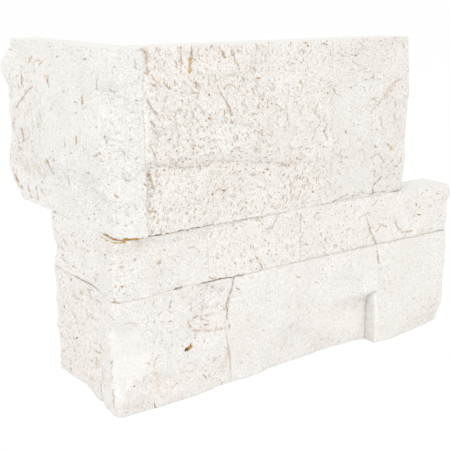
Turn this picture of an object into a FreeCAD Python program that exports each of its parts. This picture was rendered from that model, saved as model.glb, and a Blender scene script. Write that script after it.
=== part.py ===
import FreeCAD, Part
import math
import os

# Corner piece of a split-face limestone wall cladding, in millimetres. Three courses of sawn strips
# turn an outside corner. Each strip is split on the side that shows and sawn on all others, and the
# strips of one course butt end to end. Two beds of cured resin hold the courses together.
# Z is up, X runs right along the front leg and Y runs back along the return leg. The origin is the
# foot of the wall's own corner, so the sawn backs of the two legs lie on Y = 0 and on X = 0.

# Sawn thickness of the stones in each leg, up to the mean of the split face
front_thickness = 16.0
return_thickness = 14.0

# Length of each leg from the outside corner. The upper course is shifted for the interlock.
lower_front_length = 194.0
upper_front_length = 160.0
lower_return_length = 60.0
upper_return_length = 97.0

# Course heights, bed centre to bed centre, and the resin bed between two courses
lower_course_height = 50.0
middle_course_height = 25.0
upper_course_height = 75.0
bed_thickness = 0.3
bed_inset = 4.0
bed_back_inset = 1.0

# Upright joints in the front leg, from the outside corner
upper_front_joint = 112.0
middle_corner_joint = 44.0
middle_front_joint = 95.4
lower_corner_joint = 57.6
lower_front_joint = 142.0

# The split surface: size of its facets, length of its longest ripple, height of one step of relief,
# and the wear of its edges
facet_size = 4.0
ripple_length = 37.5
relief_step = 1.0
edge_strip = 1.3
bed_edge_wear = 0.6
joint_edge_wear = 0.15

# The large breaks of the corner's arris: how far each reaches along the front and the return
foot_break_front = 14.0
foot_break_return = 3.0
head_break_front = 4.0
head_break_return = 9.0

# Heights of the beds' faces
lower_top = lower_course_height - bed_thickness / 2
middle_foot = lower_top + bed_thickness
middle_top = lower_course_height + middle_course_height - bed_thickness / 2
upper_foot = middle_top + bed_thickness
upper_top = lower_course_height + middle_course_height + upper_course_height


def noise(seed, i, j):
    """A repeatable value from 0 to 1 for one node of a grid."""
    value = math.sin(12.9898 * i + 78.233 * j + 37.719 * seed) * 43758.5453
    return value - math.floor(value)


def ripple(seed, along, up):
    """Uneven split surface: four waves, each shorter, lower and turned another way."""
    total = 0.0
    for wave in range(4):
        length = ripple_length / 1.55 ** wave
        turn = math.pi * noise(seed, wave, 1)
        phase = 2 * math.pi * noise(seed, wave, 2)
        way = along * math.cos(turn) + up * math.sin(turn)
        total += 0.6 / 1.4 ** wave * math.sin(2 * math.pi * way / length + phase)
    return total


def line(*points):
    """Straight runs between points given as (place, value), level beyond the ends."""
    def value(place):
        if place <= points[0][0]:
            return points[0][1]
        for (a, start), (b, end) in zip(points, points[1:]):
            if place <= b:
                return start + (end - start) * (place - a) / (b - a)
        return points[-1][1]
    return value


# Relief features, in steps of relief. Their places are shares of the stone's own run and height:
# 0 to 1 along the front from the corner or the left joint, and 0 to -1 along the return.

def swell(at, up, half_along, half_up, proud):
    """A rounded swelling, or a scoop where proud is negative."""
    def height(along, rise):
        return proud * max(0.0, 1 - ((along - at) / half_along) ** 2 - ((rise - up) / half_up) ** 2)
    return height


def shelf(edge, proud, width=0.07):
    """A step: the face above the edge stands proud of the face below it."""
    def height(along, rise):
        return proud * min(1.0, max(0.0, 0.5 + (rise - edge(along)) / width))
    return height


def lean(foot, head):
    """The face leans: it is proud by foot at the bottom and by head at the top."""
    def height(along, rise):
        return foot + (head - foot) * rise
    return height


def patch(proud, along_part, rise_part):
    """Relief whose part along the run and part up the stone each follow a line."""
    def height(along, rise):
        return proud * along_part(along) * rise_part(rise)
    return height


def split_face(seed, roughness, *features):
    """How proud the split face stands at a distance, a height and their shares of the stone."""
    def proud(distance, z, along, rise):
        steps = roughness * ripple(seed, distance, z) + sum(f(along, rise) for f in features)
        return relief_step * steps
    return proud


def joint(at, bend=line((0, 0))):
    """An upright joint or end: its distance from the outside corner at a share of the height."""
    return lambda rise: at + relief_step * bend(rise)


def broken_arris(wear, front_reach, return_reach, front_part, return_part):
    """How far the outer arris is broken back, as (along the front, along the return) at a height.

    front_part and return_part give the part of each reach, and wear is what is lost all the way.
    """
    return lambda rise: (wear + front_reach * front_part(rise), wear + return_reach * return_part(rise))


def grid_shares(length):
    """Shares of a run: a narrow strip at each edge and even facets between."""
    count = max(2, round((length - 2 * edge_strip) / facet_size))
    inner = [edge_strip + (length - 2 * edge_strip) * k / count for k in range(count + 1)]
    return [0.0] + [place / length for place in inner] + [1.0]


def shaken(shares, k, amount):
    """A share moved a little off its grid line, by less than its gap to either neighbour."""
    if k in (0, len(shares) - 1):
        return shares[k]
    gap = min(shares[k] - shares[k - 1], shares[k + 1] - shares[k])
    return shares[k] + 0.5 * gap * (amount - 0.5)


def run_points(shares, seed, leg, foot, height, near, far, proud, broken):
    """Grid of split-face nodes of one leg, as rows from the foot up, each from near to far.

    near and far give the run's ends and broken the face of the broken arris, all at a share of the
    height. A node is (distance from the outside corner, how proud, height).
    """
    rises = grid_shares(height)
    grid = []
    for j in range(len(rises)):
        row = []
        for i in range(len(shares)):
            at_edge = i in (0, len(shares) - 1)
            at_bed = j in (0, len(rises) - 1)
            rise = rises[j] if at_edge else shaken(rises, j, noise(seed, i, j))
            share = shares[i] if at_bed else shaken(shares, i, noise(seed + 1, i, j))
            distance = near(rise) + share * (far(rise) - near(rise))
            z = foot + rise * height
            out = min(proud(leg * distance, z, leg * share, rise), broken(distance, rise))
            if at_bed:
                out -= bed_edge_wear * (0.3 + 1.4 * noise(seed + 2, i, j))
            elif at_edge:
                out -= joint_edge_wear * (0.3 + 1.4 * noise(seed + 2, i, j))
            row.append((distance, out, z))
        grid.append(row)
    return grid


def front_point(distance, out, z):
    return FreeCAD.Vector(distance - return_thickness, -front_thickness - out, z)


def return_point(distance, out, z):
    return FreeCAD.Vector(-return_thickness - out, distance - front_thickness, z)


def unbroken(distance, rise):
    """The limit that a broken arris sets on a stone that doesn't turn the corner: none."""
    return math.inf


def front_skin(seed, foot, top, start, end, proud):
    """Rows of points of a stone that shows on the front leg only, from left to right."""
    shares = grid_shares(end(0.5) - start(0.5))
    grid = run_points(shares, seed, 1, foot, top - foot, start, end, proud, unbroken)
    return [[front_point(*node) for node in row] for row in grid]


def return_skin(seed, foot, top, start, end, proud):
    """Rows of points of a stone that shows on the return leg only, from its far end inwards."""
    shares = grid_shares(end(0.5) - start(0.5))
    grid = run_points(shares, seed, -1, foot, top - foot, start, end, proud, unbroken)
    return [[return_point(*node) for node in reversed(row)] for row in grid]


def corner_skin(seed, foot, top, return_end, front_end, proud, arris):
    """Rows of points of a stone that shows on both legs, from its return end round the corner.

    The arris is broken along a straight line in plan, from a point on the front to one on the
    return. The corner column of points lies half way along that line.
    """
    height = top - foot

    def proud_arris(rise):
        return proud(0.0, foot + rise * height, 0.0, rise)

    def near(leg):
        """Where a leg's run starts: half its share of the break, from the unbroken arris."""
        return lambda rise: arris(rise)[::leg][0] / 2 - proud_arris(rise)

    def broken(leg):
        """How proud the broken face stands, as seen from one leg."""
        def limit(distance, rise):
            along, into = arris(rise)[::leg]
            start = proud_arris(rise)
            return start - into * (1 - (distance + start) / along)
        return limit
    front = run_points(grid_shares(front_end(0.5)), seed, 1, foot, height, near(1), front_end,
                       proud, broken(1))
    side = run_points(grid_shares(return_end(0.5)), seed + 5, -1, foot, height, near(-1), return_end,
                      proud, broken(-1))
    rows = []
    for front_row, side_row in zip(front, side):
        arris_x = front_row[0][0] - return_thickness
        arris_y = side_row[0][0] - front_thickness
        row = [return_point(*node) for node in reversed(side_row[1:])]
        row.append(FreeCAD.Vector(arris_x, arris_y, front_row[0][2]))
        row += [front_point(*node) for node in front_row[1:]]
        rows.append(row)
    return rows


def behind_front(row):
    """Back points of a row on the front leg's wall plane, from right to left."""
    return [FreeCAD.Vector(row[-1].x, 0, row[0].z), FreeCAD.Vector(row[0].x, 0, row[0].z)]


def behind_return(row):
    """Back points of a row on the return leg's wall plane, from near to far."""
    return [FreeCAD.Vector(0, row[-1].y, row[0].z), FreeCAD.Vector(0, row[0].y, row[0].z)]


def behind_front_corner(row):
    """Back point of a corner stone whose length lies along the front."""
    return [FreeCAD.Vector(row[-1].x, 0, row[0].z)]


def behind_return_corner(row):
    """Back point of a corner stone whose length lies along the return."""
    return [FreeCAD.Vector(0, row[0].y, row[0].z)]


def facet(*points):
    return Part.Face(Part.makePolygon(list(points) + [points[0]]))


def stone(skin, behind):
    """Closes a split skin with flat beds, joints and back."""
    loops = [row + behind(row) for row in skin]
    last = len(skin[0]) - 1
    faces = [facet(*reversed(loops[0])), facet(*loops[-1])]
    for lower, upper in zip(loops, loops[1:]):
        for i in range(len(lower)):
            n = (i + 1) % len(lower)
            a, b, c, d = lower[i], lower[n], upper[n], upper[i]
            if i >= last:
                faces.append(facet(a, b, c, d))
            elif a.distanceToPoint(c) < b.distanceToPoint(d):
                faces += [facet(a, b, c), facet(a, c, d)]
            else:
                faces += [facet(a, b, d), facet(b, c, d)]
    shell = Part.Compound(faces)
    shell.sewShape()
    solid = Part.Solid(shell.Shells[0])
    if solid.Volume < 0:
        solid.reverse()
    return solid.removeSplitter()


# The ends of the courses, and the joints between the stones of one course, foot to head
front_lap = joint(front_thickness)
return_lap = joint(return_thickness)
lower_front_end = joint(lower_front_length, line((0, -1.2), (0.15, -0.2), (0.9, 0.2), (1, 0)))
middle_front_end = joint(lower_front_length, line((0, -0.8), (0.5, -1.4), (0.66, -1.2), (0.72, 0.4),
                                                  (0.85, -0.2), (1, -1.6)))
upper_front_end = joint(upper_front_length, line((0, 0.3), (0.6, 0), (1, -0.8)))
lower_return_end = joint(lower_return_length, line((0, -0.6), (0.4, 0), (0.9, 1.2), (1, 0.6)))
middle_return_end = joint(lower_return_length, line((0, 0.4), (0.35, -1.2), (0.7, 0.6), (1, 1.4)))
upper_return_end = joint(upper_return_length, line((0, -3), (0.08, 2), (0.2, 5.5), (0.27, 3.5),
                                                   (0.36, 2), (0.45, 3), (0.55, 2.4), (0.62, 1.6),
                                                   (0.72, 2), (0.8, 6), (0.88, 3.6), (1, 0)))
lower_corner_line = joint(lower_corner_joint, line((0, -1), (0.25, -1.6), (0.5, -4.4), (0.62, -4),
                                                   (1, 0)))
lower_front_line = joint(lower_front_joint, line((0, 0), (0.5, 0), (0.6, 3), (1, 1)))
middle_corner_line = joint(middle_corner_joint, line((0, 0.6), (1, -0.6)))
middle_front_line = joint(middle_front_joint, line((0, -0.4), (0.5, 0.5), (1, 0)))
upper_front_line = joint(upper_front_joint, line((0, 1), (0.6, 0.4), (1, -1.5)))


# Where the lower two corner stones swell out: from their joint on the return, round the arris
corner_bulge = line((-1, 0), (-0.2, 1), (0.35, 1), (0.7, 0))


def lower_corner_stone():
    """Foot of the corner, with a large break under a lip of the arris and a flared toe."""
    arris = broken_arris(2.2, foot_break_front, foot_break_return,
                         line((0.14, 0), (0.24, 0.2), (0.3, 0.8), (0.35, 1), (0.5, 1), (0.66, 0.85),
                              (0.75, 0.6), (0.81, 0.3), (0.83, 0)),
                         line((0.12, 0), (0.24, 0.3), (0.33, 0.8), (0.5, 1), (0.8, 1), (0.83, 0)))
    proud = split_face(11, 0.55,
                       patch(2.6, corner_bulge, line((0, 0.3), (0.35, 1))),
                       swell(0, 0.02, 0.9, 0.4, 2.2),
                       swell(0.8, 0.62, 0.24, 0.4, -1.8),
                       swell(0.7, 0, 0.2, 0.2, 1.2))
    skin = corner_skin(11, 0, lower_top, front_lap, lower_corner_line, proud, arris)
    return stone(skin, behind_front_corner)


def lower_front_middle_stone():
    """Leans back to its foot, and steps back under a ledge at its lower right."""
    proud = split_face(23, 0.55,
                       shelf(line((0, 0.02), (0.25, 0.4), (1, 0.62)), 2.2, 0.5),
                       patch(-2.6, line((0.6, 0), (0.92, 1)), line((0.44, 1), (0.54, 0))),
                       patch(2.7, line((0.75, 0), (1, 1)), line((0.46, 0), (0.54, 1), (1, 0))),
                       swell(0.6, 0, 0.42, 0.45, -3.0),
                       swell(0, 0.4, 0.2, 0.5, -1.0),
                       lean(-0.8, -1.6))
    skin = front_skin(23, 0, lower_top, lower_corner_line, lower_front_line, proud)
    return stone(skin, behind_front)


def lower_front_right_stone():
    """Stands proud of its neighbour at the foot, where the split ran out."""
    proud = split_face(31, 0.45,
                       patch(2.6, line((0, 1), (0.6, 0.8), (1, 0)), line((0, 1), (0.5, 0.8), (1, 0.2))),
                       swell(0.3, 0, 0.5, 0.6, 1.6),
                       swell(0.62, 0, 0.3, 0.14, -1.6),
                       swell(1, 0, 0.2, 0.2, -2.2))
    skin = front_skin(31, 0, lower_top, lower_front_line, lower_front_end, proud)
    return stone(skin, behind_front)


def lower_return_stone():
    proud = split_face(11, 0.6,
                       lean(-1.0, -0.3),
                       swell(0, 0.1, 0.4, 0.5, 1.2))
    skin = return_skin(43, 0, lower_top, front_lap, lower_return_end, proud)
    return stone(skin, behind_return)


def middle_corner_stone():
    """Swells out towards its foot, where its arris is more worn."""
    foot_wear = line((0, 1), (0.5, 0))
    arris = broken_arris(1.4, relief_step, relief_step, foot_wear, foot_wear)
    proud = split_face(61, 0.55,
                       patch(2.4, corner_bulge, line((0, 1), (0.5, 0.7), (1, 0))),
                       swell(-0.3, 0.4, 0.9, 0.8, 1.0))
    skin = corner_skin(57, middle_foot, middle_top, front_lap, middle_corner_line, proud, arris)
    return stone(skin, behind_front_corner)


def middle_front_left_stone():
    proud = split_face(61, 0.55,
                       swell(0.5, 0.4, 0.5, 0.6, 0.8))
    skin = front_skin(61, middle_foot, middle_top, middle_corner_line, middle_front_line, proud)
    return stone(skin, behind_front)


def middle_front_right_stone():
    """The long strip whose bare end carries the ledge beside the upper course."""
    proud = split_face(61, 0.55,
                       swell(0.5, 0.4, 0.1, 0.6, -1.2),
                       swell(0.75, 0.45, 0.09, 0.4, -1.8),
                       swell(1, 0.85, 0.25, 0.5, 1.0))
    skin = front_skin(73, middle_foot, middle_top, middle_front_line, middle_front_end, proud)
    return stone(skin, behind_front)


def middle_return_stone():
    proud = split_face(61, 0.55,
                       swell(-1, 0.85, 0.5, 0.5, 1.0),
                       lean(-0.3, -1.0))
    skin = return_skin(83, middle_foot, middle_top, front_lap, middle_return_end, proud)
    return stone(skin, behind_return)


def upper_return_stone():
    """The tallest relief: a broken arris, a shelf across the lower third and a ragged far end."""
    arris = broken_arris(1.0, head_break_front, head_break_return,
                         line((0, 0.2), (0.15, 0.2), (0.3, 0.7), (0.6, 1), (0.78, 0.9), (0.84, 0)),
                         line((0, 0.1), (0.15, 0.2), (0.3, 0.6), (0.6, 1), (0.78, 0.7), (0.84, 0)))
    proud = split_face(97, 0.5,
                       swell(-1, 0.82, 0.16, 0.12, 2.4),
                       swell(-1, 0.22, 0.22, 0.17, 2.2),
                       swell(-0.95, 0.5, 0.22, 0.2, 1.2),
                       shelf(line((-0.62, 0.25), (-0.2, 0.29), (0, 0.18)), 1.6),
                       swell(-0.08, 0.5, 0.14, 0.2, 1.8),
                       patch(3.0, line((0, 0), (0.5, 1)), line((0, 1), (0.35, 0))),
                       patch(0.9, line((-1, 1), (0, 0)), line((0, 1), (0.2, 0))),
                       lean(-1.0, -1.4))
    skin = corner_skin(97, upper_foot, upper_top, upper_return_end, return_lap, proud, arris)
    return stone(skin, behind_return_corner)


def upper_front_left_stone():
    """The widest face, with one long crease across it and a broken edge at the left joint."""
    proud = split_face(103, 0.6,
                       shelf(line((0, 0.39), (0.5, 0.36), (1, 0.27)), 1.4, 0.05),
                       swell(0, 0.2, 0.07, 0.24, -2.0),
                       swell(0.45, 0.68, 0.4, 0.3, 0.9),
                       patch(2.0, line((0, 1), (0.9, 0)), line((0, 1), (0.38, 0))),
                       lean(-0.3, -1.0))
    skin = front_skin(103, upper_foot, upper_top, return_lap, upper_front_line, proud)
    return stone(skin, behind_front)


def upper_front_right_stone():
    """A calmer face with a spall along its bottom edge."""
    proud = split_face(103, 0.5,
                       shelf(line((0, 0.27), (0.6, 0.1)), 1.4, 0.2),
                       swell(0.19, 0, 0.08, 0.035, -2.0),
                       patch(-1.5, line((0, 0), (1, 1)), line((0, 1), (0.5, 0))),
                       lean(-0.3, -1.0))
    skin = front_skin(113, upper_foot, upper_top, upper_front_line, upper_front_end, proud)
    return stone(skin, behind_front)


def resin_bed(foot, front_length, return_length):
    """A cured bed that turns the corner, held back from the split faces and from the wall."""
    left = bed_inset - return_thickness
    front = bed_inset - front_thickness
    right = front_length - return_thickness - bed_inset
    far = return_length - front_thickness - bed_inset
    back = -bed_back_inset
    outline = [(left, front), (right, front), (right, back), (back, back), (back, far), (left, far)]
    plate = facet(*[FreeCAD.Vector(x, y, foot) for x, y in outline])
    return plate.extrude(FreeCAD.Vector(0, 0, bed_thickness))


def shared(*lengths):
    """The stretch that two courses have in common."""
    return min(lengths)


bed_front = shared(lower_front_length, upper_front_length)
bed_return = shared(lower_return_length, upper_return_length)

os.makedirs("parts", exist_ok=True)
pieces = {
    "lower_corner_stone": lower_corner_stone(),
    "lower_front_middle_stone": lower_front_middle_stone(),
    "lower_front_right_stone": lower_front_right_stone(),
    "lower_return_stone": lower_return_stone(),
    "middle_corner_stone": middle_corner_stone(),
    "middle_front_left_stone": middle_front_left_stone(),
    "middle_front_right_stone": middle_front_right_stone(),
    "middle_return_stone": middle_return_stone(),
    "upper_return_stone": upper_return_stone(),
    "upper_front_left_stone": upper_front_left_stone(),
    "upper_front_right_stone": upper_front_right_stone(),
    "lower_bed_resin": resin_bed(lower_top, lower_front_length, lower_return_length),
    "upper_bed_resin": resin_bed(middle_top, bed_front, bed_return),
}
for node, shape in pieces.items():
    shape.exportStep(f"parts/{node}.step")
    print(node, "valid", shape.isValid(), "faces", len(shape.Faces), "volume", round(shape.Volume))
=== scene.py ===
import math
import bpy
import numpy as np
from mathutils import Matrix, Vector


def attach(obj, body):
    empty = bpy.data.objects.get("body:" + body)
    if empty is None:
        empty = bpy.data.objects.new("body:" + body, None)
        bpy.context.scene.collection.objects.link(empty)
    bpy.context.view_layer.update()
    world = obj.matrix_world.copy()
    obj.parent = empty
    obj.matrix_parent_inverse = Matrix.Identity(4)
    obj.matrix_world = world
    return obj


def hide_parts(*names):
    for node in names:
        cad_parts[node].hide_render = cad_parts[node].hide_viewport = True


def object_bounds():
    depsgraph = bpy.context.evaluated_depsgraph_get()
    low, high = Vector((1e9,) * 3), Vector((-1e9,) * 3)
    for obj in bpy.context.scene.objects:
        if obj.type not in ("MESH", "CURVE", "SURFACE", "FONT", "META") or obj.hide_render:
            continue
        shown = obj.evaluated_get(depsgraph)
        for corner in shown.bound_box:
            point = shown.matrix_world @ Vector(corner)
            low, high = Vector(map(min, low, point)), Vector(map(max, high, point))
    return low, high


# Corner piece of a split-face limestone wall cladding, seen from in front of its outside corner.
# Each stone is a fine copy of its CAD solid, made by the same formulas, with the grain of the split
# stone added. Formulas work in millimetres and meshes in metres. "along" is a distance from the
# outside corner, negative on the return leg, and "up" a height. "share" and "rise" are parts of a
# stone's run and height, and "proud" is how far its face stands out.

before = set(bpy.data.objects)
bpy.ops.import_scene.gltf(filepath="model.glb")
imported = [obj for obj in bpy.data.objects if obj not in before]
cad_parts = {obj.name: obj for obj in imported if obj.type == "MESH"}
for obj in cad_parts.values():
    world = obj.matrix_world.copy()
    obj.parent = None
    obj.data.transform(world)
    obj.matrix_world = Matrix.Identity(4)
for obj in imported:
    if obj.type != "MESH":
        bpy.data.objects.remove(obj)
scene = bpy.context.scene
cad_low, cad_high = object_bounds()
MM = 0.001

# The photograph's camera, fitted to the piece's edges: a 71 mm lens on a 36 mm square, turned right by
# yaw and down by pitch, at the height of the upper edge of the piece
yaw = math.radians(35.09)
pitch = math.radians(14.77)
ahead = Vector((math.sin(yaw) * math.cos(pitch), math.cos(yaw) * math.cos(pitch), -math.sin(pitch)))
right = Vector((math.cos(yaw), -math.sin(yaw), 0))
camera = bpy.data.objects.new("camera", bpy.data.cameras.new("camera"))
camera.data.sensor_width = 36
camera.data.lens = 71.3
camera.data.clip_start = 0.01
camera_place = (-0.1735, -0.3183, 0.1713)
camera.matrix_world = Matrix.Translation(camera_place) @ Matrix(
    (right, right.cross(ahead), -ahead)).transposed().to_4x4()
scene.collection.objects.link(camera)
scene.camera = camera
scene.view_settings.view_transform = "Standard"

# White studio floor, wide enough to fill the view up to the horizon. Camera rays see most of it as
# plain white, so that the photograph's white ground keeps a faint shadow of the piece.


def linear(code):
    """Linear colour of an sRGB hex code."""
    values = [int(code[k:k + 2], 16) / 255 for k in (1, 3, 5)]
    return tuple(v / 12.92 if v <= 0.04045 else ((v + 0.055) / 1.055) ** 2.4 for v in values) + (1,)


def add(tree, kind, inputs={}, **settings):
    """Adds a shader node with its settings. Its inputs are values, sockets or nodes' first outputs."""
    made = tree.nodes.new("ShaderNode" + kind)
    for key, value in settings.items():
        setattr(made, key, value)
    for key, value in inputs.items():
        if isinstance(value, bpy.types.Node):
            value = value.outputs[0]
        if isinstance(value, bpy.types.NodeSocket):
            tree.links.new(value, made.inputs[key])
        else:
            made.inputs[key].default_value = value
    return made


def new_material(name):
    material = bpy.data.materials.new(name)
    material.use_nodes = True
    tree = material.node_tree
    tree.nodes.clear()
    return material, tree


floor_half = 60.0
floor_mesh = bpy.data.meshes.new("studio_floor")
floor_mesh.from_pydata([(-floor_half, -floor_half, 0), (floor_half, -floor_half, 0),
                        (floor_half, floor_half, 0), (-floor_half, floor_half, 0)], [], [(0, 1, 2, 3)])
floor = bpy.data.objects.new("studio_floor", floor_mesh)
floor.location.z = cad_low.z - 0.1 * MM
scene.collection.objects.link(floor)
floor_material, tree = new_material("white_studio_paper")
path = add(tree, "LightPath")
seen = add(tree, "Math", {0: path.outputs["Is Camera Ray"], 1: path.outputs["Is Glossy Ray"]},
           operation="MAXIMUM")
seen = add(tree, "Math", {0: seen, 1: path.outputs["Is Transmission Ray"]}, operation="MAXIMUM")
plain_white = 0.8
mostly = add(tree, "Math", {0: seen, 1: plain_white}, operation="MULTIPLY")
paper = add(tree, "BsdfDiffuse", {"Color": linear("#FEFEFE")})
glow = add(tree, "Emission", {"Color": (1, 1, 1, 1), "Strength": 1.0})
mixed = add(tree, "MixShader", {0: mostly, 1: paper, 2: glow})
add(tree, "OutputMaterial", {"Surface": mixed})
floor_mesh.materials.append(floor_material)

# Soft light: an even pale sky, and one large lamp high above the camera's left
world = bpy.data.worlds.new("studio_sky")
world.use_nodes = True
tree = world.node_tree
tree.nodes.clear()
path = add(tree, "LightPath")
sky = add(tree, "Background", {"Color": linear("#FFFFFF"), "Strength": 0.96})
white = add(tree, "Background", {"Color": (1, 1, 1, 1), "Strength": 1.0})
seen = add(tree, "MixShader", {0: path.outputs["Is Camera Ray"], 1: sky, 2: white})
add(tree, "OutputWorld", {"Surface": seen})
scene.world = world

lamp = bpy.data.objects.new("key_lamp", bpy.data.lights.new("key_lamp", "AREA"))
lamp.data.size = 0.5
lamp.data.energy = 7.2
lamp.location = (-0.55, -0.65, 1.5)
lamp.rotation_mode = "QUATERNION"
lamp.rotation_quaternion = ((cad_low + cad_high) / 2 - lamp.location).to_track_quat("-Z", "Y")
scene.collection.objects.link(lamp)

# The stones: strips of split shell limestone, glued edge to edge. Each has a split face, and sawn
# beds, ends and back. These sizes are the CAD part's own, and the split faces follow them.
front_thickness = 16.0
return_thickness = 14.0
lower_top = 49.85
middle_foot = 50.15
middle_top = 74.85
upper_foot = 75.15
upper_top = 150.0

# The split face: long ripples, the first one this long and high and each next one less so
ripple_length = 37.5
ripple_height = 0.6
ripple_shortening = 1.55
ripple_lowering = 1.4

# Grid of the fine skin, and the worn edges at beds and joints
grid_size = 0.36
edge_reach = 0.8
bed_edge_wear = 0.14
joint_edge_wear = 0.03

# Within this distance of the outside corner, marks are placed from the broken arris
arris_reach = 8.0


def noise(seed, i, j):
    """A repeatable value from 0 to 1 for one node of a grid."""
    value = np.sin(12.9898 * i + 78.233 * j + 37.719 * seed) * 43758.5453
    return value - np.floor(value)


def grain(seed, size, along, up):
    """Value noise from -1 to 1: a random value at each corner of squares of this size, blended."""
    i, j = np.floor(along / size), np.floor(up / size)
    u, v = along / size - i, up / size - j
    u, v = u * u * (3 - 2 * u), v * v * (3 - 2 * v)
    foot = noise(seed, i, j) * (1 - u) + noise(seed, i + 1, j) * u
    head = noise(seed, i, j + 1) * (1 - u) + noise(seed, i + 1, j + 1) * u
    return 2 * (foot * (1 - v) + head * v) - 1


def facets(seed, size, along, up):
    """Flat facets of about this size, each at its own level and tilt, from about -1 to 1.

    A place belongs to the nearest of a set of scattered centres, one to each square of a grid.
    """
    along = along + 0.25 * size * grain(seed + 5, 0.6 * size, along, up)
    i, j = np.floor(along / size), np.floor(up / size)
    tilt, nearest, height = 1.6, np.inf, 0.0
    for right in (-1, 0, 1):
        for above in (-1, 0, 1):
            a, b = i + right, j + above
            u = along / size - a - noise(seed, a, b)
            v = up / size - b - noise(seed + 1, a, b)
            lean_along, lean_up = noise(seed + 3, a, b) - 0.5, noise(seed + 4, a, b) - 0.5
            level = noise(seed + 2, a, b) - 0.5 + tilt * (lean_along * u + lean_up * v)
            away = u * u + v * v
            height = np.where(away < nearest, level, height)
            nearest = np.minimum(nearest, away)
    return height


def ripple(seed, along, up):
    """Uneven split surface: four waves, each shorter, lower and turned another way."""
    total = 0.0
    for wave in range(4):
        length = ripple_length / ripple_shortening ** wave
        turn = math.pi * noise(seed, wave, 1)
        phase = 2 * math.pi * noise(seed, wave, 2)
        way = along * math.cos(turn) + up * math.sin(turn)
        total = total + ripple_height / ripple_lowering ** wave * np.sin(2 * math.pi * way / length + phase)
    return total


def crumble(seed, along, up):
    """Grain of the split stone: facets of 7 and 3 mm, then lumps of 1.7 and 0.9 mm."""
    broad = 0.7 * facets(seed, 7.0, along, up) + 0.45 * facets(seed + 6, 3.0, along, up)
    return broad + 0.3 * grain(seed + 2, 1.7, along, up) + 0.3 * grain(seed + 3, 0.9, along, up)


def line(*points):
    """Straight runs between points given as (place, value), level beyond the ends."""
    places, values = zip(*points)
    return lambda place: np.interp(place, places, values)


def swell(at, up, half_along, half_up, proud):
    """A rounded swelling, or a scoop where proud is negative."""
    return lambda share, rise: proud * np.maximum(
        0, 1 - ((share - at) / half_along) ** 2 - ((rise - up) / half_up) ** 2)


def patch(proud, along_part, rise_part):
    """Relief whose part along the run and part up the stone each follow a line."""
    return lambda share, rise: proud * along_part(share) * rise_part(rise)


def split_face(seed, roughness, crumbling, *features, cuts=()):
    """How proud the split face stands at a distance, a height and their shares of the stone.

    cuts are (depth, stroke) for cracks and small breaks. A smooth face has neither grain nor cuts.
    """
    def proud(along, up, share, rise, smooth=False):
        steps = roughness * ripple(seed, along, up) + sum(f(share, rise) for f in features)
        if smooth:
            return steps
        sunk = sum(depth * mark[1](along, up) for depth, mark in cuts)
        return steps + crumbling * crumble(seed, along, up) - sunk
    return proud


def stroke(code, strength, width, *runs, whole=0.0):
    """A coloured mark in the stone along straight runs, each a list of (along, up) points in mm.

    Gives (colour, how strong it is at a place). Its edge is ragged and it breaks off here and there,
    less so the more whole it is. A strength over 1 gives it a crisp edge.
    """
    def strength_at(along, up):
        ragged = width * (1 + 0.5 * grain(3, 0.8, along, up))
        kept = np.clip(0.9 + whole + 1.3 * grain(4, 1.3, along, up), 0, 1)
        kept = kept * (0.8 + 0.3 * grain(7, 0.7, along, up))
        a, b = along + 0.4 * grain(5, 1.6, along, up), up + 0.4 * grain(6, 1.6, along, up)
        found = 0.0
        for points in runs:
            for start, end in zip(points, points[1:] or points):
                run, climb = end[0] - start[0], end[1] - start[1]
                part = ((a - start[0]) * run + (b - start[1]) * climb) / (run ** 2 + climb ** 2 + 1e-9)
                part = np.clip(part, 0, 1)
                away = np.hypot(a - start[0] - part * run, b - start[1] - part * climb)
                found = np.maximum(found, np.clip(1.6 - 2.4 * away / ragged, 0, 1))
        return np.minimum(1, strength * found * kept)
    return linear(code), strength_at


def flecks(seed, code, strength, size, turn, low, high, amount=0.5):
    """Short marks of one (length, width) in mm, turned alike from the level by turn degrees.

    One cell of a brick pattern holds one mark, and amount is the share of cells that have one. They
    are scattered over a box from low to high, each (along, up), and thin out at its edges.
    """
    length, width = size
    cell_length, cell_width = 1.5 * length, 2.2 * width
    swing = math.radians(turn)

    def strength_at(along, up):
        from_side = np.minimum(along - low[0], high[0] - along)
        inside = np.minimum(from_side, np.minimum(up - low[1], high[1] - up))
        inside = np.clip(0.5 + inside / 4 + 0.5 * grain(seed + 5, 3.0, along, up), 0, 1)
        a = along + 0.6 * grain(seed + 6, 2.5, along, up)
        b = up + 0.6 * grain(seed + 7, 2.5, along, up)
        u, v = a * math.cos(swing) + b * math.sin(swing), b * math.cos(swing) - a * math.sin(swing)
        j = np.floor(v / cell_width)
        u = u + cell_length * noise(seed + 8, j, 0)
        i = np.floor(u / cell_length)
        u = u - (i + 0.5 + 0.4 * (noise(seed + 1, i, j) - 0.5)) * cell_length
        v = v - (j + 0.5 + 0.4 * (noise(seed + 2, i, j) - 0.5)) * cell_width
        half_length = 0.5 * length * (0.4 + 0.6 * noise(seed + 3, i, j))
        away = np.hypot(u / half_length, v / (0.5 * width))
        shade = 0.3 + 0.7 * noise(seed + 4, i, j)
        chosen = noise(seed, i, j) < amount * inside
        return strength * shade * np.clip(2 - 1.6 * away, 0, 1) * chosen
    return linear(code), strength_at


def joint(at, bend=line((0, 0))):
    """An upright joint or end: its distance from the outside corner at a share of the height."""
    return lambda rise: at + bend(rise)


def broken_arris(wear, front_reach, return_reach, front_part, return_part):
    """How far the outer arris is broken back, as (along the front, along the return) at a height."""
    return lambda rise: (wear + front_reach * front_part(rise), wear + return_reach * return_part(rise))


def even_shares(length):
    return np.linspace(0, 1, max(3, round(length / grid_size) + 1))


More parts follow.
